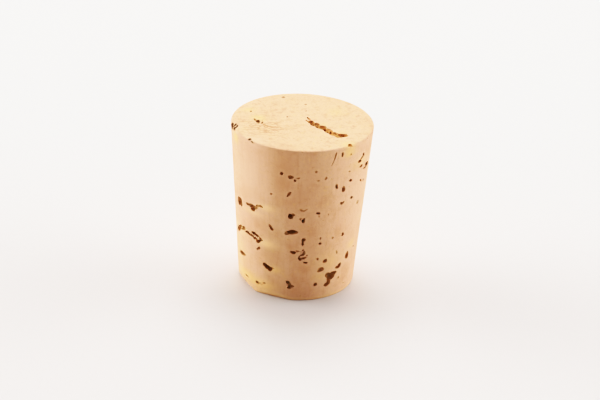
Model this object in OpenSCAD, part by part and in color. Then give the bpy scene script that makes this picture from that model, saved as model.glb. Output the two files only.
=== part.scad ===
// Tapered stopper of natural cork, one solid plug that stands on its narrow end.
// The origin is the centre of the narrow end's face and +Z runs up the axis.
// Angles run round the axis from the front (-Y), positive towards the right (+X).
// The cork's breathing channels all run the same way through the plug, across its axis. Where they
// meet the side head on they leave round holes, and where they run along it they leave streaks.

/* [Plug] */
// Diameter of the wide end
wide_d = 24; // [16:0.5:40]
// Diameter of the narrow end
narrow_d = 19.8; // [12:0.2:36]
// Length along the axis, from the narrow end to the wide end
plug_l = 28.8; // [18:0.2:60]
// Width of the small bevel worn on the edge of each end
edge_w = 0.3; // [0.05:0.05:0.8]

/* [Chips in the base edge] */
// Direction of the middle of the front chip
front_chip_a = -22; // [-180:1:180]
// Half of the angle that the front chip takes out of the base edge
front_chip_spread = 20; // [15:1:70]
// Height of the front chip at its middle
front_chip_h = 0.55; // [0.1:0.05:2]
// Direction of the middle of the left chip
left_chip_a = -66; // [-180:1:180]
// Half of the angle that the left chip takes out of the base edge
left_chip_spread = 24; // [15:1:70]
// Height of the left chip at its middle
left_chip_h = 0.75; // [0.1:0.05:2]

/* [Channels] */
// Direction in which the breathing channels run through the cork
grain_a = 45; // [-180:1:180]
// Most that a pore leans sideways as it follows its channel inwards, in degrees
lean_most = 28; // [0:1:40]
// How far a pore's mouth is from a true ellipse, as a share of its size
mouth_wave = 0.1; // [0:0.01:0.15]

/* [Pores round the back] */
// Number of pores from the right edge round the back to the left edge
back_count = 66; // [0:1:80]
// Height of the smallest pore there
back_small = 0.35; // [0.2:0.05:0.5]
// Height of the largest pore there
back_large = 1.1; // [0.6:0.05:1.4]
// Number that their scatter grows from
scatter = 7; // [1:1:50]

/* [Hidden] */

wide_r = wide_d / 2;
narrow_r = narrow_d / 2;

// How far each pore's cutting shape stands out of the surface that it cuts
proud = 1.6;
// Corners of a pore's outline, large pores first
big_corners = 11;
small_corners = 8;
small_size = 0.5;

// Pores on the side, each [angle, height as % of the length, run, rise, slope, depth].
// Run and rise are the mouth's two lengths, and slope turns the mouth, positive up to the right.
FRONT = [
    [-15, 84.6, 0.64, 0.56, 40, 0.6],
    [-7.4, 83, 1, 0.75, -10, 0.5],
    [-3.8, 81, 0.45, 0.46, 0, 0.5],
    [-1.4, 82.6, 0.8, 0.38, 20, 0.2],
    [-8.2, 71.8, 1.25, 0.46, 58, 0.6],
    [-23.8, 70, 0.45, 0.38, 45, 0.35],
    [2.4, 61.8, 0.6, 0.52, 0, 0.28],
    [4.4, 61.2, 0.7, 0.4, -10, 0.2],
    [6.6, 62, 0.5, 0.36, 20, 0.17],
    [-6.3, 57, 0.86, 1.08, 0, 1.3],
    [-4, 58.3, 0.65, 0.54, 15, 0.55],
    [5.1, 54.7, 0.6, 0.96, 0, 1.5],
    [2.2, 55.8, 0.4, 0.64, -20, 0.25],
    [-24.7, 48.3, 0.75, 0.5, -35, 0.5],
    [-23.2, 46.7, 0.62, 0.66, 60, 0.65],
    [-8.4, 45.8, 1.25, 0.8, 5, 0.5],
    [-3.8, 46.7, 1.6, 1, 8, 1.4],
    [5.5, 40, 0.45, 1.4, 0, 0.9],
    [6, 41.8, 0.8, 0.58, 20, 0.95],
];

// A cluster of small pores round a crumb of cork that is still in place
CLUSTER = [
    [-2.8, 33, 1.05, 0.64, -20, 0.8],
    [0.8, 34, 0.6, 0.38, -30, 0.35],
    [3.2, 33.6, 0.65, 0.28, -5, 0.2],
    [6, 34.8, 0.35, 0.4, 0, 0.5],
    [6.8, 32.5, 0.5, 1.02, -12, 0.8],
    [5, 31.4, 0.85, 0.34, 25, 0.5],
    [3.4, 29, 0.55, 0.9, 20, 0.8],
    [6.8, 29.4, 1.2, 0.44, 18, 0.55],
    [9.7, 31.2, 0.35, 0.38, 0, 0.3],
    [8.7, 26.2, 0.85, 0.38, -8, 0.6],
];

LOW_FRONT = [
    [-6.2, 11.9, 1.3, 0.58, -60, 0.9],
    [-5, 10.4, 0.6, 0.75, 0, 0.75],
    [-3.7, 9.7, 1.05, 0.6, 20, 0.75],
    [-5.3, 8.7, 0.7, 0.6, 40, 0.65],
    [-30.8, 21.3, 0.75, 0.76, -20, 0.8],
    [-27.6, 20.1, 1.3, 0.96, -25, 1.5],
    [-25.2, 19.1, 0.95, 0.96, 10, 1],
    [-22.4, 20.1, 0.95, 0.34, -5, 0.3],
    [19.9, 10.7, 0.68, 0.74, 0, 0.75],
    [24, 20.5, 1.2, 1.02, 20, 0.5],
    [20.2, 28.2, 0.45, 0.58, 0, 0.4],
    [27.8, 26.1, 1, 0.64, 30, 0.8],
];

// Channels cut lengthwise, which run along the left of the side
STREAKS = [
    [-69.5, 34.8, 1.7, 0.86, 14, 0.4],
    [-67.5, 36.9, 1.45, 0.56, 6, 0.45],
    [-62, 38, 2.25, 0.82, 12, 0.7],
    [-57.5, 39.2, 1.25, 0.62, 5, 0.4],
    [-52.2, 37.8, 1.3, 0.58, 3, 0.8],
    [-47, 37.4, 1.5, 0.52, 3, 0.9],
    [-43, 39.6, 1.2, 0.58, 5, 0.95],
    [-38.8, 39, 1.1, 0.5, -25, 0.6],
    [-41.6, 36.6, 0.95, 0.56, -5, 0.9],
    [-38, 35.4, 0.95, 0.74, 25, 0.85],
    [-34.8, 37.2, 0.85, 0.66, 25, 0.7],
    [-36.9, 31, 0.65, 0.58, 15, 0.6],
    [-38.7, 30, 0.5, 0.34, 20, 0.35],
    [-50, 57.1, 1.1, 0.5, 8, 0.6],
    [-45, 57.4, 1.4, 0.74, 0, 0.75],
    [-41.6, 57, 1.3, 0.8, 5, 0.85],
    [-37.8, 58.9, 0.95, 0.58, 30, 0.6],
    [-34.3, 59.6, 1, 0.42, 0, 0.4],
    [-43.6, 55.3, 1.1, 0.6, -5, 0.65],
    [-63.8, 55.8, 1.65, 1.3, 0, 1.2],
    [-61.6, 54.6, 1, 1.3, 10, 1],
    [-65.8, 53.6, 1.3, 0.95, 20, 0.6],
    [-63.5, 20.4, 2.35, 0.82, 5, 0.75],
    [-39.5, 6.9, 0.9, 0.66, -10, 0.34],
    [-35.6, 7, 1.1, 0.5, 5, 0.24],
    [-31.4, 8.2, 0.8, 0.45, 15, 0.2],
    [-55, 7.2, 1.5, 0.38, -6, 0.2],
];

// Channels met head on, which leave holes on the right of the side
HOLES = [
    [12.8, 86.8, 0.5, 0.56, 0, 0.18],
    [15.1, 81, 0.55, 0.44, -15, 0.16],
    [21.6, 82, 0.5, 0.66, -10, 0.26],
    [17.4, 59.2, 0.76, 0.46, -15, 1.1],
    [18.3, 57, 0.3, 0.34, 0, 0.3],
    [26.5, 57.6, 0.45, 0.48, 0, 0.15],
    [21.1, 42.1, 0.35, 0.52, 0, 0.35],
    [21.3, 38.6, 0.5, 0.54, 0, 0.8],
    [33.2, 41, 0.55, 0.52, 0, 0.17],
    [44.7, 41.2, 0.62, 0.74, 0, 0.6],
    [39.6, 30.2, 0.5, 0.95, 25, 0.16],
    [54.8, 24.7, 0.9, 1.6, -8, 0.8],
    [66.2, 27.6, 1, 0.4, -25, 0.18],
    [45.7, 11.4, 0.55, 0.52, -15, 0.18],
    [55.8, 5.4, 0.9, 0.46, -15, 0.18],
    [32.3, 75.4, 0.98, 0.54, -70, 0.9],
    [39.8, 72.4, 0.78, 1.12, 0, 1],
    [46.7, 76.6, 0.85, 0.46, -12, 0.6],
    [44, 83, 0.55, 0.44, -20, 0.17],
    [39.2, 63, 0.65, 0.54, -35, 0.8],
    [41.3, 63.4, 0.4, 0.52, 0, 0.25],
    [50.9, 64.3, 0.65, 0.48, -25, 0.8],
    [62, 58.4, 0.9, 0.9, 0, 0.16],
    [62.3, 72.7, 0.85, 0.46, -35, 0.4],
    [68, 71.2, 1, 0.52, -15, 0.2],
    [28.3, 95.4, 1.8, 0.3, 76, 0.4],
    [26.2, 91, 1, 0.24, 65, 0.15],
    [34.8, 95.8, 0.45, 0.9, 0, 1],
    [43.8, 94.2, 0.5, 0.46, -10, 0.17],
    [56.3, 86.7, 1.05, 0.58, -15, 0.7],
    [58.9, 88.3, 0.9, 0.44, 35, 0.5],
    [61.4, 89.9, 0.85, 0.54, -40, 0.7],
    [59.4, 82.7, 1.05, 0.54, -5, 0.5],
    [67.2, 79.5, 1.35, 0.4, -12, 0.6],
    [71.6, 80.8, 1.7, 0.9, -5, 0.9],
];

// The large hollow near the base on the right, and the wedge beside it
HOLLOW = [
    [32.6, 15.7, 1.45, 0.96, -6, 1.3],
    [37.6, 15.5, 1.7, 1.02, 12, 1.25],
    [35.6, 13.6, 1.55, 1.16, 20, 1],
    [33.8, 11.4, 0.8, 1.54, 0, 1.15],
    [31.4, 9.3, 1.05, 0.76, 5, 0.9],
    [43.5, 19.3, 1.2, 0.66, 0, 1.2],
    [45.4, 20.6, 0.65, 0.7, 30, 0.85],
];

// Pores in the wide end, each [x, y as % of the radius, run, rise, slope, depth], seen from above.
// The long slit is a shallow trough, with darker pits along it.
TROUGH = [
    [8.4, 11, 1.5, 0.42, -68, 0.35],
    [6, 3.4, 0.9, 0.36, -50, 0.35],
    [12.4, -1.4, 1.7, 1.15, -50, 0.4],
    [18, -8.4, 1.8, 1.45, -45, 0.42],
    [26.4, -16.6, 1.9, 1.7, -42, 0.44],
    [35.6, -26.4, 2, 1.6, -52, 0.4],
    [42.8, -36, 1.9, 1.45, -38, 0.42],
    [51.6, -41.6, 1.9, 1.65, -5, 0.44],
    [59.2, -40.6, 1.1, 1.4, -12, 0.4],
];

PITS = [
    [11.2, -1.2, 0.42, 0.9, -15, 0.7],
    [14.4, -4.2, 0.36, 0.9, -12, 0.7],
    [17.6, -10.2, 1, 0.9, -45, 1.4],
    [24.2, -17.4, 0.55, 0.9, -5, 1.2],
    [30.6, -19.2, 0.55, 1.5, -12, 1.6],
    [35.6, -28, 0.5, 1.2, 10, 0.9],
    [39.4, -26.6, 0.36, 0.9, -5, 0.75],
    [47.6, -42.2, 0.62, 1, 5, 1.5],
    [52, -47, 0.6, 0.5, 15, 0.65],
    [57.2, -41.6, 0.55, 1.2, 0, 1.5],
];

TOP = [
    [-62.2, -6.6, 0.75, 1.5, 12, 0.4],
    [-66.6, -0.6, 0.4, 1, 10, 0.24],
    [-56.4, -11, 0.4, 1.1, -18, 0.22],
    [-73.4, 26.6, 0.5, 0.8, 0, 0.15],
    [-21.8, 13.6, 0.4, 0.8, 0, 0.15],
    [3.2, 60, 0.6, 0.5, 10, 0.14],
    [-29, 81.6, 0.9, 0.6, 0, 0.14],
    [4.2, 36.6, 0.3, 0.8, 0, 0.14],
];

// Breaks in the wide end's rim
RIM = [
    [-96.6, -21, 0.4, 2.1, 2, 0.9],
    [-93, -22, 0.34, 1.5, -14, 0.7],
    [-90.6, -27, 0.34, 1.4, -12, 0.6],
    [-94.2, -36, 0.5, 1.9, -6, 0.4],
    [-70.4, -66.2, 0.55, 0.7, 10, 0.4],
    [-65.4, -75, 1.5, 0.24, -52, 0.35],
    [66.2, -72.6, 0.8, 1.35, 8, 0.32],
    [90.6, -43.4, 0.3, 0.85, 10, 0.5],
];

// Pores in the narrow end, given the same way
BASE = [
    [-34, 18, 1.6, 0.5, -40, 0.8],
    [-22, 6, 1.5, 0.7, -48, 1.2],
    [-12, -8, 1.2, 0.6, -52, 0.7],
    [28, 40, 0.8, 0.6, 10, 0.9],
    [35, 34, 0.4, 0.4, 0, 0.5],
    [48, -22, 0.6, 0.5, 0, 0.7],
    [6, -58, 0.9, 0.45, 30, 0.6],
    [-58, 40, 0.5, 0.45, 0, 0.5],
    [-8, 66, 0.7, 0.5, -20, 0.6],
    [62, 30, 0.45, 0.4, 0, 0.4],
];

// Radius of the side at a height
function side_r(z) = narrow_r + (wide_r - narrow_r) * z / plug_l;

// Sideways lean of a pore that follows its channel inwards
function lean(a) = lean_most * sin(2 * (grain_a - a));

// Outline of a pore's mouth: an ellipse pulled out of round, differently for each value of k
function mouth(run, rise, k) =
    let (n = max(run, rise) > small_size ? big_corners : small_corners)
    [for (i = [0 : n - 1])
        let (
            t = 360 * i / n,
            two = sin(2 * t + 97 * k),
            three = sin(3 * t + 53 * k),
            swell = 1 + mouth_wave * (two + three)
        )
        [run / 2 * swell * cos(t), rise / 2 * swell * sin(t)]
    ];

function part_after_point(x) = x - floor(x);

// One pore of the back: the angle goes round in even steps, and the rest is scattered.
// Channels that run along the side there leave long mouths, as the streaks on the left do.
function back_pore(i) =
    let (
        chance = rands(0, 1, 5, 100 * scatter + i),
        a = 80 + 196 * (i + chance[0]) / back_count,
        up = 3 + 94 * part_after_point(0.618 * i + 0.3 * chance[1]),
        rise = back_small + (back_large - back_small) * pow(chance[2], 2.4),
        stretch = 1 / max(0.4, abs(cos(grain_a - a)))
    )
    [a, up, rise * stretch * (0.8 + 0.5 * chance[3]), rise, 50 * chance[4] - 25, rise * (0.6 + chance[3])];

BACK = [for (i = [0 : 1 : back_count - 1]) back_pore(i)];

module side_pore(p, k) {
    z = p[1] / 100 * plug_l;
    a_lean = lean(p[0]);
    rotate([0, 0, p[0]])
        translate([0, -side_r(z), z])
            rotate([0, 0, a_lean])
                translate([0, p[5], 0])
                    rotate([90, 0, 0])
                        rotate([0, 0, p[4]])
                            linear_extrude(height = p[5] + proud)
                                polygon(mouth(p[2] * cos(a_lean), p[3], k));
}

module end_pore(p, r, k) {
    translate([p[0] / 100 * r, p[1] / 100 * r, -p[5]])
        rotate([0, 0, p[4]])
            linear_extrude(height = p[5] + proud)
                polygon(mouth(p[2], p[3], k));
}

module side_pores() {
    rows = concat(FRONT, CLUSTER, LOW_FRONT, STREAKS, HOLES, HOLLOW, BACK);
    for (k = [0 : len(rows) - 1])
        side_pore(rows[k], k);
}

module end_pores(rows, r) {
    for (k = [0 : len(rows) - 1])
        end_pore(rows[k], r, k);
}

module plug() {
    rotate_extrude($fn = 180)
        polygon([
            [0, 0],
            [narrow_r - edge_w, 0],
            [narrow_r, edge_w],
            [wide_r, plug_l - edge_w],
            [wide_r - edge_w, plug_l],
            [0, plug_l]
        ]);
}

// Everything under a plane that rises outwards from the base, under a chipped edge
module chip(a, spread, h) {
    chord = narrow_r * cos(spread);
    slope = atan(h / (narrow_r - chord));
    rotate([0, 0, a])
        translate([0, -chord, 0])
            rotate([-slope, 0, 0])
                translate([-narrow_d, -narrow_d, -narrow_d])
                    cube([2 * narrow_d, narrow_d, narrow_d]);
}

module stopper() {
    color("burlywood")
        difference() {
            plug();
            chip(front_chip_a, front_chip_spread, front_chip_h);
            chip(left_chip_a, left_chip_spread, left_chip_h);
            side_pores();
            translate([0, 0, plug_l])
                end_pores(concat(TROUGH, PITS, TOP, RIM), wide_r);
            rotate([180, 0, 0])
                end_pores(BASE, narrow_r);
        }
}

stopper();
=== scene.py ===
import math

import bmesh
import bpy
import numpy as np
from mathutils import Matrix, Vector, noise
from mathutils.kdtree import KDTree


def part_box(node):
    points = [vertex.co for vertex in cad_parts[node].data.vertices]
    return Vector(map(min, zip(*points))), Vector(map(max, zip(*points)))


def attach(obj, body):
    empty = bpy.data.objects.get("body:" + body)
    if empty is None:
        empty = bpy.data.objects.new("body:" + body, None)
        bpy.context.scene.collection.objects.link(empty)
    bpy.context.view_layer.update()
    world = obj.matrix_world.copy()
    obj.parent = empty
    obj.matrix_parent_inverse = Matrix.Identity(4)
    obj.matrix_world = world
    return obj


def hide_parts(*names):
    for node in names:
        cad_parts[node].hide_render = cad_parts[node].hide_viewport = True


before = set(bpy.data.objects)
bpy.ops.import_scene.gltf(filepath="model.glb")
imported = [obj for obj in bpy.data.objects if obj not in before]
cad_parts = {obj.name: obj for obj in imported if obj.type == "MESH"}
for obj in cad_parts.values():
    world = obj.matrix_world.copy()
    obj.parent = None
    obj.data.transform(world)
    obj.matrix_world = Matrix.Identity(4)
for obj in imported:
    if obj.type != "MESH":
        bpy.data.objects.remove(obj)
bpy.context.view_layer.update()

MM = 0.001
TOUCHING = 0.001 * MM        # points this near each other are one point, or lie in one plane
TINY = 1e-20                 # keeps a length of zero from being divided by
SEED_STEP = Vector((3.7, 1.3, 7.1))   # how far one seed's noise lies from the next seed's

# How the chips in the base edge are told from the rest of the CAD solid
CHIP_LEVEL = 1.5 * MM        # they lie below this height,
CHIP_FACING = (-0.97, -0.3)  # their normals' z lies between these,
CHIP_AREA = 1e-6             # and each is larger than this, in square metres

# The finish of the CAD solid's pores
WALL_EDGE = 0.26 * MM        # longest edge left on a pore's wall
WALL_ROUNDS = 3              # rounds of smoothing, which turn straight cuts into hollows
MOUTH_ROUNDS = 2             # rounds of smoothing of a pore's outline
WIDEN = 0.01 * MM            # how far each wall moves back, which makes up for what smoothing closes
ROUGH = ((0.05 * MM, 0.45 * MM), (0.022 * MM, 0.16 * MM))   # (height, size) of the lumps on a wall
ON_SKIN = 0.03 * MM          # a point this near the outer form lies on it
SAME_WAY = 0.7               # least cosine between a triangle's normal and that of the face it lies on
PUSH = 0.15 * MM             # how far the cutter's outer faces stand off the outer form
SHARP = math.radians(48)     # an edge bent further than this stays sharp

# The fine skin
AROUND = 256                 # points round the stopper, a multiple of 8
ROWS = 60                    # rows up the side
EDGE_ROWS = 4                # rows round the curve of each rim
SWELL = (0.03 * MM, 7 * MM)  # (height, size) of the side's faint unevenness
GRIT = (0.012 * MM, 0.7 * MM)


def get_points(verts):
    """The places of a mesh's points as an array."""
    return np.array([v.co for v in verts])


def rough(points, height, size, seed):
    """Fractal noise at each point, about -height to height, in lumps of a size."""
    return height * np.array([
        noise.fractal(Vector(p) / size + seed * SEED_STEP, 1.0, 2.0, 2, noise_basis="PERLIN_ORIGINAL")
        for p in points
    ])


def link(name, data):
    """A new object with this data, in the scene."""
    obj = bpy.data.objects.new(name, data)
    bpy.context.scene.collection.objects.link(obj)
    return obj


# ---------------------------------------------------------------- the stopper's outer form
class Form:
    """The plain tapered outer form, measured on the CAD solid, with the chips in its base edge."""

    def __init__(self, node):
        _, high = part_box(node)
        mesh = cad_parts[node].data
        x, y, level = get_points(mesh.vertices).T
        radii = np.hypot(x, y)
        self.height = high.z
        self.wide_r = radii.max()
        base_r = radii[level < TOUCHING].max()
        self.edge = self.wide_r - radii[level > high.z - TOUCHING].max()
        self.narrow_r = base_r + self.edge
        self.slope = (self.wide_r - self.narrow_r) / (self.height - 2 * self.edge)
        self.chips = self.chip_planes(mesh)

    def chip_planes(self, mesh):
        """(normal, distance) of each plane that a chip left: a flat part that looks down and out."""
        flats = {}
        steep, shallow = CHIP_FACING
        for face in mesh.polygons:
            if face.center.z < CHIP_LEVEL and steep < face.normal.z < shallow:
                key = tuple(round(c, 2) for c in face.normal)
                flats.setdefault(key, []).append(face)
        chips = []
        for faces in flats.values():
            area = sum(face.area for face in faces)
            if area > CHIP_AREA:
                normal = sum((face.normal * face.area for face in faces), Vector()).normalized()
                middle = sum((face.center * face.area for face in faces), Vector()) / area
                chips.append((normal, normal.dot(middle)))
        return chips

    def side_r(self, z):
        """Radius of the side at a height."""
        return self.narrow_r + self.slope * (z - self.edge)

    def base_z(self, x, y):
        """Height of the underside at a point, which the chips raise."""
        return max([0.0, *((distance - n.x * x - n.y * y) / n.z for n, distance in self.chips)])

    def depths(self, points):
        """How deep each point lies under each face of the outer form, and those faces' normals."""
        x, y, z = points.T
        r = np.hypot(x, y)
        out = np.stack([x, y, 0 * r], 1) / np.maximum(r, TINY)[:, None]
        up = np.array([0, 0, 1.0])
        lean = math.atan(self.slope)
        side = (self.side_r(z) - r) * math.cos(lean)
        found = [
            (side, out * math.cos(lean) - up * math.sin(lean)),
            (self.height - z, up + 0 * out),
            (z, -up + 0 * out),
            ((side + self.height - z - self.edge) / math.sqrt(2), (out + up) / math.sqrt(2)),
            ((side + z - self.edge) / math.sqrt(2), (out - up) / math.sqrt(2)),
        ]
        found += [(d - points @ np.array(n), np.array(n) + 0 * out) for n, d in self.chips]
        return np.stack([d for d, _ in found], 1), np.stack([n for _, n in found], 1)


form = Form("stopper")


# ---------------------------------------------------------------- the pores, from the CAD solid
def welded_triangles():
    """The CAD solid's points and triangles as arrays."""
    bm = bmesh.new()
    bm.from_mesh(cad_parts["stopper"].data)
    bmesh.ops.remove_doubles(bm, verts=bm.verts, dist=TOUCHING)
    bmesh.ops.triangulate(bm, faces=bm.faces)
    bm.verts.index_update()
    points = get_points(bm.verts)
    faces = np.array([[v.index for v in f.verts] for f in bm.faces])
    bm.free()
    return points, faces


def face_normals(points, faces):
    """Normals as long as twice each triangle's area."""
    a, b, c = (points[faces[:, k]] for k in range(3))
    return np.cross(b - a, c - a)


def find_walls(points, faces):
    """Which triangles are a pore's wall or floor, and aren't part of the outer form."""
    flat = (form.depths(points)[0] < ON_SKIN).any(1)[faces].all(1)
    depth, normals = form.depths(points[faces].mean(1))
    nearest = np.abs(depth).argmin(1)
    outward = normals[np.arange(len(faces)), nearest]
    own = face_normals(points, faces)
    own /= np.linalg.norm(own, axis=1, keepdims=True) + TINY
    return ~(flat & ((outward * own).sum(1) > SAME_WAY))


def find_edges(faces):
    """(edges as point pairs, the number of each triangle's three edges)."""
    pairs = np.sort(faces[:, [[0, 1], [1, 2], [2, 0]]].reshape(-1, 2), axis=1)
    edges, number = np.unique(pairs, axis=0, return_inverse=True)
    return edges, number.reshape(-1, 3)


def split_walls(points, faces, wall):
    """Halves the walls' long edges, and the triangles on them, until none is longer than WALL_EDGE."""
    while True:
        edges, number = find_edges(faces)
        on_wall = np.zeros(len(edges), bool)
        on_wall[number[wall]] = True
        length = np.linalg.norm(points[edges[:, 0]] - points[edges[:, 1]], axis=1)
        cut = on_wall & (length > WALL_EDGE)
        if not cut.any():
            return points, faces, wall
        middle = np.full(len(edges), -1)
        middle[cut] = len(points) + np.arange(cut.sum())
        points = np.vstack([points, points[edges[cut]].mean(1)])
        halves = middle[number]
        many = (halves >= 0).sum(1)
        # turn each triangle so that its cut edges come first
        first = np.where(many == 1, (halves >= 0).argmax(1), ((halves < 0).argmax(1) + 1) % 3)
        order = (first[:, None] + np.arange(3)) % 3
        p, q, r = np.take_along_axis(faces, order, 1).T
        pq, qr, rp = np.take_along_axis(halves, order, 1).T
        parts = [
            (many == 0, (p, q, r)),
            (many == 1, (p, pq, r)), (many == 1, (pq, q, r)),
            (many == 2, (pq, q, qr)), (many == 2, (p, pq, qr)), (many == 2, (p, qr, r)),
            (many == 3, (p, pq, rp)), (many == 3, (pq, q, qr)), (many == 3, (rp, qr, r)),
            (many == 3, (pq, qr, rp)),
        ]
        faces = np.vstack([np.stack(corners, 1)[which] for which, corners in parts])
        wall = np.hstack([wall[which] for which, _ in parts])


def relax(points, edges, which, rounds):
    """Moves the chosen points half of the way to the middle of their neighbours along the edges."""
    for _ in range(rounds):
        total, count = np.zeros_like(points), np.zeros(len(points))
        for a, b in ((0, 1), (1, 0)):
            np.add.at(total, edges[:, a], points[edges[:, b]])
            np.add.at(count, edges[:, a], 1)
        some = which & (count > 0)
        points[some] += 0.5 * (total[some] / count[some, None] - points[some])


def make_cutter():
    """The CAD solid with its outer faces moved outwards and its pores' walls made rough and round."""
    points, faces = welded_triangles()
    points, faces, wall = split_walls(points, faces, find_walls(points, faces))
    edges, number = find_edges(faces)
    sides = np.zeros(len(edges), int)
    np.add.at(sides, number[wall], 1)
    depth, normals = form.depths(points)
    touching = depth < ON_SKIN
    skin = touching.any(1)
    mouth = np.zeros(len(points), bool)
    mouth[edges[sides == 1]] = True
    relax(points, edges[sides == 1], mouth, MOUTH_ROUNDS)
    relax(points, edges[sides > 0], ~skin, WALL_ROUNDS)

    flow = np.zeros_like(points)
    own = face_normals(points, faces)[wall]
    for k in range(3):
        np.add.at(flow, faces[wall][:, k], own)
    moved = np.linalg.norm(flow, axis=1) > 0
    flow[moved] /= np.linalg.norm(flow[moved], axis=1, keepdims=True)
    lump = sum(rough(points[moved], height, size, seed) for seed, (height, size) in enumerate(ROUGH))
    points[moved] += flow[moved] * (lump - WIDEN)[:, None]

    away = (normals * touching[:, :, None]).sum(1)[skin]
    points[skin] += PUSH * away / np.linalg.norm(away, axis=1, keepdims=True)
    mesh = bpy.data.meshes.new("cutter")
    mesh.from_pydata(points.tolist(), [], faces.tolist())
    return link("cutter", mesh)


# ---------------------------------------------------------------- the fine skin
def disc(n):
    """An even grid of a disc of radius 1: rows of (x, y), with 8n points round its edge."""
    rows = []
    for j in range(-n, n + 1):
        row = []
        for i in range(-n, n + 1):
            a, b = i / n, j / n
            if a == 0 and b == 0:
                row.append((0.0, 0.0))
            elif abs(a) >= abs(b):
                turn = math.pi / 4 * b / a
                row.append((a * math.cos(turn), a * math.sin(turn)))
            else:
                turn = math.pi / 2 - math.pi / 4 * a / b
                row.append((b * math.cos(turn), b * math.sin(turn)))
        rows.append(row)
    return rows


def grid_rim(n):
    """(row, column) of the grid's edge points, anticlockwise from the point at angle 0."""
    last = 2 * n
    rim = [(j, last) for j in range(n, last)]
    rim += [(last, i) for i in range(last, 0, -1)]
    rim += [(j, 0) for j in range(last, 0, -1)]
    rim += [(0, i) for i in range(0, last)]
    rim += [(j, last) for j in range(0, n)]
    return rim


def add_disc(bm, n, radius, height_at, facing_up):
    """Adds a gridded disc and returns its edge's points, anticlockwise from angle 0."""
    verts = [[bm.verts.new((x * radius, y * radius, height_at(x * radius, y * radius)))
              for x, y in row] for row in disc(n)]
    for j in range(2 * n):
        for i in range(2 * n):
            corners = [verts[j][i], verts[j][i + 1], verts[j + 1][i + 1], verts[j + 1][i]]
            bm.faces.new(corners if facing_up else corners[::-1])
    return [verts[j][i] for j, i in grid_rim(n)]


def make_skin():
    """The plain outer form as a fine mesh, with rounded rims, the chips and a faint unevenness."""
    bm = bmesh.new()
    n = AROUND // 8
    base_r, top_r = form.narrow_r - form.edge, form.wide_r - form.edge
    rings = [add_disc(bm, n, base_r, form.base_z, False)]
    angles = [2 * math.pi * k / AROUND for k in range(AROUND)]

    def add_ring(place):
        rings.append([bm.verts.new(place(a)) for a in angles])

    def base_curve(turn):
        def place(a):
            r = base_r + form.edge * math.sin(turn)
            x, y = r * math.cos(a), r * math.sin(a)
            return x, y, form.base_z(x, y) + form.edge * (1 - math.cos(turn))
        return place

    def side_row(share):
        def place(a):
            low = form.base_z(form.narrow_r * math.cos(a), form.narrow_r * math.sin(a)) + form.edge
            z = low + (form.height - form.edge - low) * share
            r = form.side_r(z)
            return r * math.cos(a), r * math.sin(a), z
        return place

    def top_curve(turn):
        def place(a):
            r = top_r + form.edge * math.cos(turn)
            return r * math.cos(a), r * math.sin(a), form.height - form.edge * (1 - math.sin(turn))
        return place

    quarter = math.pi / 2
    for k in range(1, EDGE_ROWS):
        add_ring(base_curve(quarter * k / EDGE_ROWS))
    for k in range(ROWS + 1):
        add_ring(side_row(k / ROWS))
    for k in range(1, EDGE_ROWS):
        add_ring(top_curve(quarter * k / EDGE_ROWS))
    rings.append(add_disc(bm, n, top_r, lambda x, y: form.height, True))

    for lower, upper in zip(rings, rings[1:]):
        for k in range(AROUND):
            after = (k + 1) % AROUND
            bm.faces.new([lower[k], lower[after], upper[after], upper[k]])

    bm.normal_update()
    points = get_points(bm.verts)
    swell, grit = rough(points, *SWELL, seed=5), rough(points, *GRIT, seed=6)
    inward = np.minimum(0, swell) + np.minimum(0, grit)
    for vert, move in zip(bm.verts, inward):
        vert.co += vert.normal * move
    mesh = bpy.data.meshes.new("cork")
    bm.to_mesh(mesh)
    bm.free()
    return link("cork", mesh)


def largest_island(bm):
    """The connected set with the most points; crumbs that a pore has cut free are the rest."""
    left, best = set(bm.verts), set()
    while left:
        island, edge = set(), [left.pop()]
        while edge:
            vert = edge.pop()
            island.add(vert)
            for e in vert.link_edges:
                other = e.other_vert(vert)
                if other in left:
                    left.discard(other)
                    edge.append(other)
        if len(island) > len(best):
            best = island
    return best


def make_cork():
    """The skin with the pores cut into it."""
    skin, cutter = make_skin(), make_cutter()
    cut = skin.modifiers.new("pores", "BOOLEAN")
    cut.operation = "INTERSECT"
    cut.solver = "MANIFOLD"
    cut.object = cutter
    bpy.context.view_layer.update()
    graph = bpy.context.evaluated_depsgraph_get()
    mesh = bpy.data.meshes.new_from_object(skin.evaluated_get(graph))
    skin.modifiers.clear()
    skin.data = mesh
    bpy.data.objects.remove(cutter)

    bm = bmesh.new()
    bm.from_mesh(mesh)
    keep = largest_island(bm)
    bmesh.ops.delete(bm, geom=[v for v in bm.verts if v not in keep], context="VERTS")
    bm.normal_update()
    for face in bm.faces:
        face.smooth = True
    for edge in bm.edges:
        edge.smooth = edge.calc_face_angle(math.pi) < SHARP
    bm.to_mesh(mesh)
    bm.free()
    mesh.name = "cork"
    return skin


# ---------------------------------------------------------------- what the material reads at each point
DEEP = 0.12 * MM             # a point this deep is inside a pore
HALO = 0.45 * MM             # how far the pale halo round a pore reaches
SIDE_FROM = 0.8              # the side starts at this share of its own radius
END_BAND = 2 * MM            # the wide end's marks reach this far down
WORN_RISE = 0.12 * MM        # height and spread of the worn band on the base edge
WORN_SPREAD = 0.3 * MM

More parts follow.
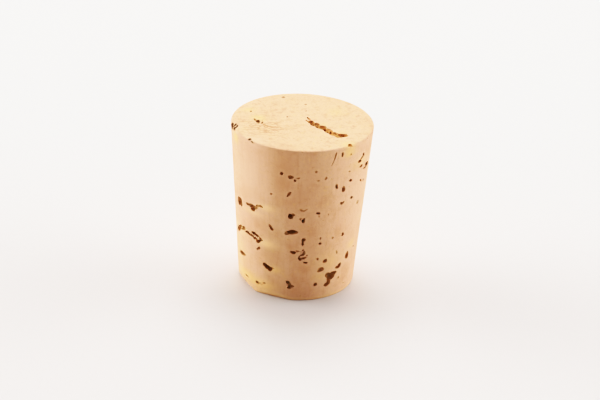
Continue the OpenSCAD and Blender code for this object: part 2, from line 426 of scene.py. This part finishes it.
# Soft patches on the side: (angle, height, half length, half height, strength), degrees and millimetres.
# The pale ones are partly painted light and the dark ones partly painted shade
PATCHES = {
    "yellow": (
        (-55, 2.3, 3.2, 1.1, 1.0), (-40, 2.0, 3.0, 1.0, 1.0), (-31, 2.0, 1.4, 0.9, 0.8),
        (-67, 6.0, 2.4, 2.4, 0.4), (-22, 5.6, 1.4, 0.6, 0.8), (33, 7.2, 2.6, 2.0, 0.35),
        (24, 4.6, 1.6, 1.0, 0.3), (-67, 27.5, 1.0, 0.9, 1.0), (41, 27.8, 1.0, 0.8, 0.8),
        (60, 9.0, 1.2, 0.8, 0.6), (58, 24.8, 2.4, 0.9, 0.5),
    ),
    "cream": (
        (-29.5, 10.3, 1.7, 0.75, 1.0), (-29.5, 17.2, 1.7, 0.55, 0.9), (-64, 10.6, 2.6, 0.8, 0.5),
        (-45, 15.4, 2.4, 0.4, 0.6),
    ),
    # pale: partly the cork's own paler tone, partly painted light on the brightly lit left and right
    # sides
    "pale": (
        (-44, 22.0, 3.6, 7.0, 0.7), (-38, 28.3, 2.4, 0.6, 0.8), (-36, 15.0, 2.2, 1.4, 0.4),
        (-50, 7.8, 3.0, 1.4, 0.5), (62, 16.0, 3.0, 9.0, 0.4), (-40, 4.4, 2.0, 0.9, 0.4),
    ),
    # dark: partly the cork's own darker tone, as round the streaks, partly painted shade on the less lit
    # front and its lower middle
    "dark": (
        (-14, 24.0, 2.0, 5.0, 0.8), (-2, 20.0, 2.0, 3.0, 0.4), (-6, 3.0, 2.4, 2.4, 0.5),
        (8, 12.0, 1.6, 5.0, 0.3), (-24, 8.0, 2.0, 3.0, 0.6), (-33, 13.4, 2.4, 2.0, 0.5),
        (-49, 11.2, 3.4, 0.9, 0.7), (-62, 11.0, 2.4, 0.8, 0.4), (-40, 8.4, 2.0, 1.0, 0.3),
    ),
}
# and on the wide end: (x, y, radius, strength), millimetres
END_PATCHES = {
    "yellow": (
        (-7.5, 0.6, 1.1, 1.0), (-9.1, 3.8, 1.0, 0.7), (-6.8, -0.1, 0.7, 0.8), (7.9, -8.6, 1.2, 0.9),
        (5.6, 4.6, 1.6, 0.4), (3.4, -1.0, 0.8, 0.5), (6.6, -4.0, 0.8, 0.6),
    ),
    "rust": (
        (1.2, 0.8, 1.0, 1.0), (2.3, -1.0, 1.1, 1.0), (3.5, -2.2, 1.2, 1.0), (4.5, -3.4, 1.2, 1.0),
        (5.4, -4.5, 1.2, 1.0), (6.5, -5.0, 1.2, 1.0), (7.3, -4.9, 1.0, 1.0), (7.95, -8.7, 1.1, 1.0),
    ),
    "grey": ((-11.4, -2.9, 1.6, 1.0), (-8.4, -8.0, 0.8, 1.0), (-7.6, -0.9, 0.8, 0.6)),
    "crackled": ((-6.0, -3.0, 3.4, 1.0),),
}
# Fine scratches in the wide end: two ends of each, and how dark it is
SCRATCHES = (
    ((-10.5, -1.2), (-8.1, -1.0), 0.6), ((-6.4, -2.1), (-4.9, -2.75), 1.0),
    ((-5.6, -3.4), (-4.0, -4.3), 0.7), ((-6.3, -1.35), (-3.9, -0.6), 0.5),
    ((-9.6, -3.4), (-8.2, -3.6), 0.5), ((-7.4, -3.9), (-6.2, -4.1), 0.6),
)


def write_values(obj, name, values):
    """A number at each point, which the material reads by its name."""
    attribute = obj.data.attributes.new(name, "FLOAT", "POINT")
    attribute.data.foreach_set("value", np.asarray(values, np.float32))


def write_depths(obj, points):
    """How deep each point lies in a pore, and how near to a pore it lies on the skin."""
    depth = np.clip(form.depths(points)[0].min(1), 0, None)
    deep = depth > DEEP
    tree = KDTree(int(deep.sum()))
    for k, p in enumerate(points[deep]):
        tree.insert(p, k)
    tree.balance()
    to_pore = np.array([tree.find(p)[2] for p in points])
    write_values(obj, "depth", depth / MM)
    write_values(obj, "near_pore", np.exp(-(to_pore / HALO) ** 2) * ~deep)


def write_patches(obj, points):
    """How strong each kind of patch is at each point."""
    x, y, z = points.T
    angle = np.degrees(np.arctan2(x, -y))
    radius = np.hypot(x, y)
    on_side = radius > SIDE_FROM * form.side_r(z)
    on_end = z > form.height - END_BAND
    for name in sorted({*PATCHES, *END_PATCHES}):
        strength = np.zeros(len(points))
        for at, level, run, rise, most in PATCHES.get(name, ()):
            along = np.radians((angle - at + 180) % 360 - 180) * radius / (run * MM)
            up = (z - level * MM) / (rise * MM)
            strength = np.maximum(strength, on_side * most * np.exp(-along ** 2 - up ** 2))
        for end_x, end_y, size, most in END_PATCHES.get(name, ()):
            away = np.hypot(x - end_x * MM, y - end_y * MM) / (size * MM)
            strength = np.maximum(strength, on_end * most * np.exp(-away ** 2))
        write_values(obj, name, strength)
    above = z - np.array([form.base_z(px, py) for px, py, _ in points])
    write_values(obj, "worn", np.exp(-((above - WORN_RISE) / WORN_SPREAD) ** 2) * on_side)


# ---------------------------------------------------------------- material
def rgba(colour):
    return (*colour, 1.0)


class Nodes:
    """A short way to write the node tree of a material or a world."""

    def __init__(self, owner):
        owner.use_nodes = True
        self.tree = owner.node_tree
        self.tree.nodes.clear()

    def add(self, kind, inputs=None, **settings):
        node = self.tree.nodes.new(kind)
        for key, value in settings.items():
            setattr(node, key, value)
        for key, value in (inputs or {}).items():
            self.put(node.inputs[key], value)
        return node

    def put(self, socket, value):
        if isinstance(value, bpy.types.NodeSocket):
            self.tree.links.new(value, socket)
        else:
            socket.default_value = value

    def math(self, operation, a, b=0.0, c=0.0, clamp=False):
        node = self.add("ShaderNodeMath", {0: a, 1: b, 2: c}, operation=operation, use_clamp=clamp)
        return node.outputs[0]

    def scaled(self, vector, scale, turn=0.0):
        """The vector stretched along each axis, then turned round z."""
        node = self.add("ShaderNodeMapping", {
            "Vector": vector, "Rotation": (0, 0, turn), "Scale": scale})
        return node.outputs[0]

    def noise(self, vector, stretch, scale, detail, roughness):
        node = self.add("ShaderNodeTexNoise", {
            "Vector": self.scaled(vector, stretch), "Scale": scale, "Detail": detail,
            "Roughness": roughness})
        return node.outputs["Fac"]

    def steps(self, value, low, high):
        """0 at low, 1 at high, smooth between."""
        node = self.add("ShaderNodeMapRange", {
            "Value": value, "From Min": low, "From Max": high}, interpolation_type="SMOOTHSTEP")
        return node.outputs["Result"]

    def ramp(self, value, stops):
        node = self.add("ShaderNodeValToRGB", {"Fac": value})
        elements = node.color_ramp.elements
        while len(elements) < len(stops):
            elements.new(1.0)
        for element, (place, colour) in zip(elements, stops):
            element.position = place
            element.color = rgba(colour)
        return node.outputs["Color"]

    def mix(self, share, a, b):
        node = self.add("ShaderNodeMix", data_type="RGBA")
        self.put(node.inputs["Factor"], share)
        self.put(node.inputs[6], a)
        self.put(node.inputs[7], b)
        return node.outputs[2]

    def vector(self, operation, a, b=(0, 0, 0)):
        return self.add("ShaderNodeVectorMath", {0: a, 1: b}, operation=operation)

    def stroke(self, place, start, end, width):
        """1 on the line between two points, falling to 0 at a distance from it."""
        along = Vector(end) - Vector(start)
        ahead = self.vector("SUBTRACT", place, Vector(start)).outputs[0]
        share = self.math("DIVIDE", self.vector("DOT_PRODUCT", ahead, along).outputs["Value"],
                          along.length_squared, clamp=True)
        nearest = self.add("ShaderNodeVectorMath", {0: along, "Scale": share}, operation="SCALE")
        away = self.vector("DISTANCE", ahead, nearest.outputs[0]).outputs["Value"]
        return self.steps(away, width, 0.0)

    def value(self, name):
        """A number that write_values stored at each point."""
        return self.add("ShaderNodeAttribute", attribute_name=name).outputs["Fac"]

    def tint(self, base, amount, share, colour):
        """The base colour, turned towards another by a share of an amount from 0 to 1."""
        return self.mix(self.math("MULTIPLY", amount, share), base, rgba(colour))

    def matte(self, colour, roughness, specular, **more):
        """Finishes a material as a rough surface of this colour."""
        shader = self.add("ShaderNodeBsdfPrincipled", {
            "Base Color": colour, "Roughness": roughness, "Specular IOR Level": specular, **more})
        self.add("ShaderNodeOutputMaterial", {"Surface": shader.outputs[0]})


# Colours in linear light
CORK = (0.662, 0.376, 0.235)
CORK_PALE = (0.76, 0.48, 0.305)
CORK_DARK = (0.55, 0.282, 0.15)
CORK_END = (0.82, 0.49, 0.275)
YELLOW = (0.82, 0.495, 0.19)
CREAM = (0.87, 0.57, 0.28)
PORE_EDGE = (0.56, 0.335, 0.17)
PORE = (0.56, 0.33, 0.15)
PORE_DEEP = (0.5, 0.31, 0.145)
FLECK = (0.5, 0.25, 0.1)
RUST_EDGE = (0.76, 0.44, 0.21)
RUST = (0.58, 0.28, 0.1)
RUST_DEEP = (0.3, 0.13, 0.035)
PORE_GREY = (0.24, 0.16, 0.09)

GRAIN_ANGLE = math.radians(45)   # the way that the cork's channels run, from the front to the right
PER_MM = (1 / MM,) * 3       # turns metres into millimetres, in which the noises are measured
ROUND = (1, 1, 1)
# Noises that run with the cork's channels: (stretch of x, y and z, scale, detail, roughness)
CHANNEL_NOISES = {
    "bands": ((0.55, 0.06, 0.05), 1.0, 3.0, 0.6),       # growth layers across the channels
    "clouds": (ROUND, 0.22, 3.0, 0.55),
    "channels": ((0.16, 1.0, 1.0), 0.9, 2.0, 0.6),      # soft marks of the channels
    "cells": (ROUND, 2.3, 4.0, 0.7),
    "flecks": ((0.5, 1.0, 1.0), 2.6, 1.0, 0.5),
    "crumbs": (ROUND, 3.2, 3.0, 0.6),                   # in the pores
}
# Noises on the stopper's own axes
UPRIGHT_NOISES = {
    "marks": ((2.4, 2.4, 0.14), 1.0, 2.0, 0.55),        # faint marks of the cutter
    "mottle": (ROUND, 0.95, 3.0, 0.65),
    "spots": (ROUND, 1.5, 2.0, 0.6),                    # in the rusty slit
}
# Colour layers in the order they go on:
# (noise, where it starts, where it is full, share of the colour on the side, share on the ends, colour)
BROAD_LAYERS = (
    ("bands", 0.35, 0.65, 0.4, 0.4, CORK_PALE),
    ("clouds", 0.5, 0.72, 0.5, 0.5, CORK_DARK),
    ("channels", 0.56, 0.72, 0.12, 0.12, YELLOW),
)
FINE_LAYERS = (
    ("mottle", 0.5, 0.68, 0.28, 0.52, CORK_DARK),
    ("cells", 0.52, 0.72, 0.35, 0.65, CORK_DARK),
    ("cells", 0.48, 0.28, 0.35, 0.65, YELLOW),
    ("marks", 0.5, 0.75, 0.3, 0.3, CORK_DARK),
    ("flecks", 0.68, 0.76, 0.45, 0.45, FLECK),
)
END_SHARE = 0.6              # how much of its own colour an end has
END_FACING = (0.8, 0.95)     # a face looks along the axis from the first of these to the second
# (stored value, share of the colour, colour)
PATCH_LAYERS = (
    ("pale", 0.8, CORK_PALE), ("dark", 0.8, CORK_DARK), ("yellow", 0.9, YELLOW), ("cream", 0.9, CREAM),
    ("worn", 0.5, CREAM), ("near_pore", 0.25, CORK_PALE),
)
# Colours by depth in a pore, in millimetres
PORE_RAMP = ((0.0, CORK), (0.12, PORE_EDGE), (0.34, PORE), (0.8, PORE_DEEP))
RUST_RAMP = ((0.0, RUST_EDGE), (0.2, RUST_EDGE), (0.42, RUST), (0.9, RUST_DEEP))
PORE_FROM = (0.05, 0.11)     # depths, in millimetres, between which the pores' colours set in
CRUMB_DEPTH = (1.2, 0.4)     # a crumb's noise, times the first and plus the second, scales the depth
RUST_FROM = (0.2, 0.5)       # strengths of the rust between which its colours set in
SPOT_FROM = (0.52, 0.62)
SPOT_SHARE = 0.7
GREY_SHARE = 0.9
# Lines in the wide end
BEND = (0.9, 3.0)            # scale and detail of the noise that bends them
CRACK_STRETCH = (0.3, 0.95, 1.0)
CRACK_SCALE = 0.75
CRACK_WIDTH = (0.08, 0.02)   # distances from a crack where it ends and where it is full
SCRATCH_WIDTH = 0.26         # in millimetres
# The surface
RELIEF = {"cells": 0.8, "crumbs": 0.5, "lines": -0.6}   # shares of the bump's height
BUMP_STRENGTH = 0.5
BUMP_HEIGHT = 0.1 * MM
CORK_ROUGHNESS = 0.78
CORK_SPECULAR = 0.3


def cork_colour(n, noises, end_grain):
    """The colour of the cut surface, with painted light and painted shade in the side's pale and dark
    patches.
    """
    def add_layers(base, layers):
        for name, low, high, on_side, on_end, colour in layers:
            share = n.math("MULTIPLY_ADD", end_grain, on_end - on_side, on_side)
            base = n.tint(base, n.steps(noises[name], low, high), share, colour)
        return base

    base = add_layers(rgba(CORK), BROAD_LAYERS)
    base = n.tint(base, end_grain, END_SHARE, CORK_END)
    base = add_layers(base, FINE_LAYERS)
    # the pale and dark patches here also lay painted light and painted shade on the side
    for name, share, colour in PATCH_LAYERS:
        base = n.tint(base, n.value(name), share, colour)
    return base


def end_lines(n, upright, end_grain):
    """1 on the wide end's fine cracks and scratches, 0 elsewhere."""
    scale, detail = BEND
    bend = n.add("ShaderNodeTexNoise", {"Vector": upright, "Scale": scale, "Detail": detail})
    bend = bend.outputs["Color"]
    wavy = n.vector("ADD", n.scaled(upright, CRACK_STRETCH), bend).outputs[0]
    crack = n.add("ShaderNodeTexVoronoi", {"Vector": wavy, "Scale": CRACK_SCALE},
                  feature="DISTANCE_TO_EDGE").outputs["Distance"]
    line = n.math("MULTIPLY", n.steps(crack, *CRACK_WIDTH), n.value("crackled"))

    shake = n.vector("SUBTRACT", bend, (0.5, 0.5, 0.5)).outputs[0]
    shaken = n.vector("ADD", upright, shake).outputs[0]
    flat = n.vector("MULTIPLY", shaken, (1, 1, 0)).outputs[0]
    for start, end, dark in SCRATCHES:
        stroke = n.stroke(flat, (*start, 0), (*end, 0), SCRATCH_WIDTH)
        line = n.math("MAXIMUM", line, n.math("MULTIPLY", stroke, dark))
    return n.math("MULTIPLY", line, end_grain)


def pore_colour(n, noises):
    """The colour inside the pores, rusty in the slit and grey in the rim's notches."""
    uneven = n.math("MULTIPLY_ADD", noises["crumbs"], *CRUMB_DEPTH)
    sunk = n.math("MULTIPLY", n.value("depth"), uneven)
    rusty = n.tint(n.ramp(sunk, RUST_RAMP), n.steps(noises["spots"], *SPOT_FROM), SPOT_SHARE, RUST_DEEP)
    inside = n.mix(n.steps(n.value("rust"), *RUST_FROM), n.ramp(sunk, PORE_RAMP), rusty)
    return n.tint(inside, n.value("grey"), GREY_SHARE, PORE_GREY)


def cork_material():
    material = bpy.data.materials.new("cork")
    n = Nodes(material)
    place = n.add("ShaderNodeTexCoord").outputs["Object"]
    turned = n.scaled(place, PER_MM, math.pi / 2 - GRAIN_ANGLE)     # x runs along the channels
    upright = n.scaled(place, PER_MM)
    noises = {name: n.noise(turned, *sizes) for name, sizes in CHANNEL_NOISES.items()}
    noises.update({name: n.noise(upright, *sizes) for name, sizes in UPRIGHT_NOISES.items()})
    normal = n.add("ShaderNodeNewGeometry").outputs["True Normal"]
    facing = n.add("ShaderNodeSeparateXYZ", {0: normal}).outputs["Z"]
    end_grain = n.steps(n.math("ABSOLUTE", facing), *END_FACING)

    base = cork_colour(n, noises, end_grain)
    line = end_lines(n, upright, end_grain)
    base = n.mix(line, base, rgba(FLECK))
    base = n.mix(n.steps(n.value("depth"), *PORE_FROM), base, pore_colour(n, noises))

    relief = n.math("MULTIPLY", noises["cells"], RELIEF["cells"])
    relief = n.math("MULTIPLY_ADD", noises["crumbs"], RELIEF["crumbs"], relief)
    relief = n.math("MULTIPLY_ADD", line, RELIEF["lines"], relief)
    bump = n.add("ShaderNodeBump", {
        "Height": relief, "Strength": BUMP_STRENGTH, "Distance": BUMP_HEIGHT})
    n.matte(base, CORK_ROUGHNESS, CORK_SPECULAR, Normal=bump.outputs[0])
    return material


FLOOR_FRONT = (0.715, 0.668, 0.645)
FLOOR_BACK = (0.71, 0.695, 0.675)
FLOOR_FIBRE = (0.6, 0.56, 0.53)
FLOOR_TURN = (-0.02, 0.07)   # how far back the front's colour ends and the back's is full, in metres
FIBRES = (ROUND, 0.9, 3.0, 0.6)       # stretch, scale, detail and roughness, by the millimetre
FIBRE_FROM = (0.4, 0.7)
FIBRE_SHARE = 0.05
FLOOR_ROUGHNESS = 0.9
FLOOR_SPECULAR = 0.1
FLOOR_SIZE = 3.0


def floor_material():
    """Pale paper, a little warmer at the front."""
    material = bpy.data.materials.new("floor")
    n = Nodes(material)
    place = n.add("ShaderNodeTexCoord").outputs["Object"]
    back = n.add("ShaderNodeSeparateXYZ", {0: place}).outputs["Y"]
    shade = n.mix(n.steps(back, *FLOOR_TURN), rgba(FLOOR_FRONT), rgba(FLOOR_BACK))
    fibres = n.noise(n.scaled(place, PER_MM), *FIBRES)
    shade = n.tint(shade, n.steps(fibres, *FIBRE_FROM), FIBRE_SHARE, FLOOR_FIBRE)
    n.matte(shade, FLOOR_ROUGHNESS, FLOOR_SPECULAR)
    return material


def set_material(obj, material):
    obj.data.materials.clear()
    obj.data.materials.append(material)


# ---------------------------------------------------------------- build
cork = make_cork()
cork_points = get_points(cork.data.vertices)
write_depths(cork, cork_points)
write_patches(cork, cork_points)
finish = cork_material()
set_material(cork, finish)
set_material(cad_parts["stopper"], finish)
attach(cork, "root")
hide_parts("stopper")

bpy.ops.mesh.primitive_plane_add(size=FLOOR_SIZE)
floor = bpy.context.object
floor.name = "floor"
set_material(floor, floor_material())

# ---------------------------------------------------------------- camera
LENS = 126.0
SENSOR = 36.0
CAMERA_DISTANCE = 0.3581
CAMERA_RISE = math.radians(26.23)
CAMERA_ROLL = math.radians(2.61)
AIM_RIGHT = 0.16 * MM        # how far the view's centre lies from the stopper's middle
AIM_UP = -0.25 * MM

ahead = Vector((0, math.cos(CAMERA_RISE), -math.sin(CAMERA_RISE)))
level_right = Vector((1, 0, 0))
level_up = Vector((0, math.sin(CAMERA_RISE), math.cos(CAMERA_RISE)))
right = level_right * math.cos(CAMERA_ROLL) + level_up * math.sin(CAMERA_ROLL)
up = level_up * math.cos(CAMERA_ROLL) - level_right * math.sin(CAMERA_ROLL)
camera = link("camera", bpy.data.cameras.new("camera"))
camera.data.lens = LENS
camera.data.sensor_width = SENSOR
camera.data.clip_start = 0.01
camera.data.clip_end = 10
middle = Vector((0, 0, form.height / 2))
camera.location = middle - ahead * CAMERA_DISTANCE + right * AIM_RIGHT + up * AIM_UP
camera.rotation_euler = Matrix((right, up, -ahead)).transposed().to_euler()
bpy.context.scene.camera = camera


# ---------------------------------------------------------------- light
LAMP_PLACE = Vector((0.0, 0.38, 0.8))
LAMP_SIZE = 0.6
LAMP_POWER = 7.3

# Soft glows round the studio: (angle from the front to the right, rise in degrees, sharpness, strength)
GLOWS = ((-104, 7, 12, 13.5), (102, 7, 12, 11.0), (180, 14, 4, 0.7))
SURROUND = 0.3               # strength of the light that comes from everywhere
STUDIO_COLOUR = (1.0, 0.985, 0.97)


def add_lamp():
    """A large square light above and behind the stopper, which faces it."""
    lamp = bpy.data.lights.new("light_above", "AREA")
    lamp.shape = "SQUARE"
    lamp.size = LAMP_SIZE
    lamp.energy = LAMP_POWER
    obj = link("light_above", lamp)
    obj.location = LAMP_PLACE
    obj.rotation_euler = (middle - LAMP_PLACE).to_track_quat("-Z", "Y").to_euler()


def add_studio():
    """A world of soft glows, each strongest in its own direction."""
    world = bpy.data.worlds.new("world")
    bpy.context.scene.world = world
    n = Nodes(world)
    way = n.add("ShaderNodeTexCoord").outputs["Generated"]
    total = SURROUND
    for angle, rise, sharpness, strength in GLOWS:
        a, e = math.radians(angle), math.radians(rise)
        source = (math.sin(a) * math.cos(e), -math.cos(a) * math.cos(e), math.sin(e))
        facing = n.math("MAXIMUM", n.vector("DOT_PRODUCT", way, source).outputs["Value"], 0.0)
        glow = n.math("POWER", facing, sharpness)
        total = n.math("MULTIPLY_ADD", glow, strength, total)
    background = n.add("ShaderNodeBackground", {"Color": rgba(STUDIO_COLOUR), "Strength": total})
    n.add("ShaderNodeOutputWorld", {"Surface": background.outputs[0]})


add_lamp()
add_studio()

# ---------------------------------------------------------------- tone, as a camera's own curve gives it
BRIGHTEST = 2.0              # the light that comes out as white
# (light in, light out), from black to white
TONE = ((0.0, 0.0), (0.0357, 0.01), (0.097, 0.05), (0.178, 0.14), (0.296, 0.3), (0.371, 0.39),
        (0.6, 0.6), (0.905, 0.8), (1.39, 0.95), (1.83, 0.99), (BRIGHTEST, 1.0))
view = bpy.context.scene.view_settings
view.view_transform = "Standard"
view.look = "None"
view.use_curve_mapping = True
tone = view.curve_mapping
tone.white_level = (BRIGHTEST,) * 3
curve = tone.curves[3]
for light_in, light_out in TONE[1:-1]:
    curve.points.new(light_in / BRIGHTEST, light_out)
tone.update()
